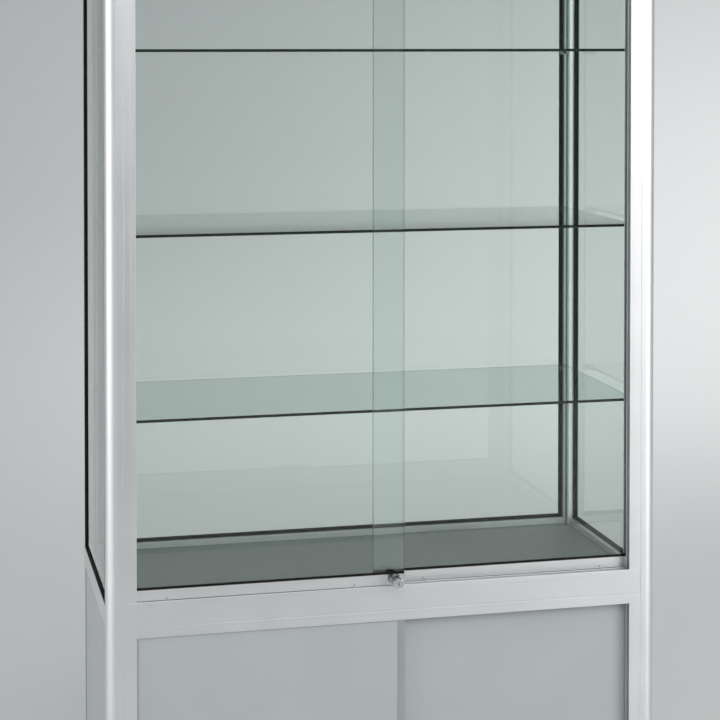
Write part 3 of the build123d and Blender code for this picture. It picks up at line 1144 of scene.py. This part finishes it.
class SHOWCASE_OT_post_caps(bpy.types.Operator):
    """Finish the moulded caps that close the tops of the posts"""

    bl_idname = "showcase.post_caps"
    bl_label = "Post caps"

    def execute(self, context):
        edge = context.scene.showcase_sizes.cap_edge
        eased_piece("post_caps", [finish("grey_polypropylene")], edge, segments=3)
        return {"FINISHED"}


# ---- The studio ----


def studio_shell(studio):
    """The floor and the wall that curves up from it all round, as one mesh."""
    cove_steps = 24
    turns = 64
    profile = [(studio.floor_radius, 0.0)]
    for step in range(1, cove_steps + 1):
        angle = math.pi / 2 * step / cove_steps
        level = studio.cove_radius * (1 - math.cos(angle))
        profile.append((studio.floor_radius + studio.cove_radius * math.sin(angle), level))
    profile.append((studio.floor_radius + studio.cove_radius, studio.wall_height))
    mesh = bmesh.new()
    rings = []
    for radius, level in profile:
        angles = [2 * math.pi * turn / turns for turn in range(turns)]
        rings.append([mesh.verts.new((radius * math.cos(a), radius * math.sin(a), level)) for a in angles])
    mesh.faces.new(rings[0])
    for lower, upper in zip(rings, rings[1:]):
        for turn in range(turns):
            after = (turn + 1) % turns
            mesh.faces.new((lower[turn], upper[turn], upper[after], lower[after]))
    mesh_data = bpy.data.meshes.new("studio_shell")
    mesh.to_mesh(mesh_data)
    mesh.free()
    mesh_data.shade_smooth()
    new_piece("studio_shell", mesh_data, [painted_studio(studio.studio)])


def black_flag(studio):
    """A black cloth that stands in front of the case, for the panes to mirror. Only reflections show it."""
    left = -studio.flag_left
    right = studio.flag_right
    top = studio.flag_height
    outline = ((left, 0), (right, 0), (right, top), (left, top))
    mesh_data = bpy.data.meshes.new("black_flag")
    mesh_data.from_pydata([(x, -studio.flag_distance, z) for x, z in outline], [], [(0, 1, 2, 3)])
    flag = new_piece("black_flag", mesh_data, [black_cloth(studio.cloth)])
    flag.visible_camera = False
    flag.visible_diffuse = False
    flag.visible_transmission = False
    flag.visible_volume_scatter = False
    flag.visible_shadow = False


def softbox(name, place, aim, size, beam, glow):
    """A flat soft lamp, turned to its aim, that doesn't show through the panes. Its glow is its radiance."""
    lamp = bpy.data.lights.new(name, "AREA")
    lamp.shape = "RECTANGLE"
    lamp.size, lamp.size_y = size
    lamp.spread = math.radians(beam)
    lamp.energy = glow * math.pi * size[0] * size[1]
    holder = bpy.data.objects.new(name, lamp)
    bpy.context.scene.collection.objects.link(holder)
    holder.location = place
    holder.visible_transmission = False
    holder.rotation_euler = (Vector(aim) - Vector(place)).to_track_quat("-Z", "Y").to_euler()


def studio_lamps():
    """Soft lamps: a screen behind the camera, a box at each side, one overhead, and two behind the case."""
    wide = 180
    softbox("lamp_screen", place=(0.3, -4.7, 3.8), aim=(0.3, 0, 1.4), size=(6.0, 2.4), beam=wide, glow=2.3)
    softbox("lamp_right", place=(3.4, -3.5, 1.6), aim=(0.3, 0, 1.0), size=(2.4, 3.2), beam=wide, glow=4.1)
    softbox("lamp_left", place=(-3.4, -0.6, 1.7), aim=(-0.5, -0.1, 1.4), size=(3.4, 3.2), beam=wide, glow=1.8)
    softbox("lamp_top", place=(0.8, -2.4, 4.6), aim=(0.5, -0.8, 0), size=(3.5, 3.0), beam=wide, glow=0.9)
    softbox("lamp_floor", place=(1.4, 4.4, 4.2), aim=(0.9, 3.3, 0), size=(2.0, 2.0), beam=100, glow=1.1)
    softbox("lamp_wall", place=(3.6, 3.2, 4.6), aim=(3.2, 6.6, 0.6), size=(2.0, 2.0), beam=120, glow=6.2)


def studio_air(studio):
    """Light from all round, a little cool, that lifts the shadows."""
    world = bpy.data.worlds.new("studio_air")
    world.use_nodes = True
    background = world.node_tree.nodes["Background"].inputs
    background["Color"].default_value = studio.air
    background["Strength"].default_value = studio.air_strength
    bpy.context.scene.world = world


def studio_camera(studio):
    """The camera, standing left of the middle with its lens shifted, so that uprights stay upright."""
    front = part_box("post_front_left")[0].y
    camera_data = bpy.data.cameras.new("camera")
    camera_data.sensor_width = 36.0
    camera_data.lens = studio.focal_length
    camera_data.shift_x = studio.shift_right
    camera_data.shift_y = studio.shift_up
    camera = bpy.data.objects.new("camera", camera_data)
    bpy.context.scene.collection.objects.link(camera)
    camera.location = (studio.camera_right, front - studio.camera_distance, studio.camera_height)
    camera.rotation_euler = (math.pi / 2 - studio.camera_tilt, 0.0, -studio.camera_turn)
    bpy.context.scene.camera = camera


class SHOWCASE_OT_studio(bpy.types.Operator):
    """Build the pale studio, its soft lamps and the camera"""

    bl_idname = "showcase.studio"
    bl_label = "Studio"

    def execute(self, context):
        scene = context.scene
        studio = scene.showcase_studio
        studio_shell(studio)
        black_flag(studio)
        studio_lamps()
        studio_camera(studio)
        studio_air(studio)
        scene.view_settings.view_transform = "Standard"
        scene.cycles.max_bounces = RAY_BOUNCES
        scene.cycles.transmission_bounces = RAY_BOUNCES
        scene.cycles.transparent_max_bounces = CLEAR_CROSSINGS
        return {"FINISHED"}


class SHOWCASE_PT_pieces(bpy.types.Panel):
    """Lists the pieces and their settings"""

    bl_idname = "SHOWCASE_PT_pieces"
    bl_label = "Display showcase"
    bl_space_type = "VIEW_3D"
    bl_region_type = "UI"
    bl_category = "Showcase"

    def draw(self, context):
        for operator in PIECES:
            self.layout.operator(operator.bl_idname)
        for name in SETTINGS:
            settings = getattr(context.scene, name)
            box = self.layout.box()
            for key in settings.__annotations__:
                box.prop(settings, key)


SETTINGS = {
    "showcase_finishes": ShowcaseFinishes,
    "showcase_sizes": ShowcaseSizes,
    "showcase_studio": ShowcaseStudio,
}
PIECES = (
    SHOWCASE_OT_studio,
    SHOWCASE_OT_frame_bars,
    SHOWCASE_OT_tracks,
    SHOWCASE_OT_glazing,
    SHOWCASE_OT_shelves,
    SHOWCASE_OT_shelf_pins,
    SHOWCASE_OT_glass_doors,
    SHOWCASE_OT_rollers,
    SHOWCASE_OT_lock,
    SHOWCASE_OT_boards,
    SHOWCASE_OT_cabinet_doors,
    SHOWCASE_OT_pile_strips,
    SHOWCASE_OT_feet,
    SHOWCASE_OT_post_caps,
)
CLASSES = (*SETTINGS.values(), *PIECES, SHOWCASE_PT_pieces)


def register():
    """Adds the settings, the operators and the panel."""
    for kind in CLASSES:
        bpy.utils.register_class(kind)
    for name, kind in SETTINGS.items():
        setattr(bpy.types.Scene, name, bpy.props.PointerProperty(type=kind))


def unregister():
    """Takes away what register added."""
    for name in SETTINGS:
        delattr(bpy.types.Scene, name)
    for kind in reversed(CLASSES):
        bpy.utils.unregister_class(kind)


def main():
    """Builds every piece in order."""
    register()
    for operator in PIECES:
        group, action = operator.bl_idname.split(".")
        getattr(getattr(bpy.ops, group), action)()
    bpy.context.view_layer.update()


if __name__ == "__main__":
    main()
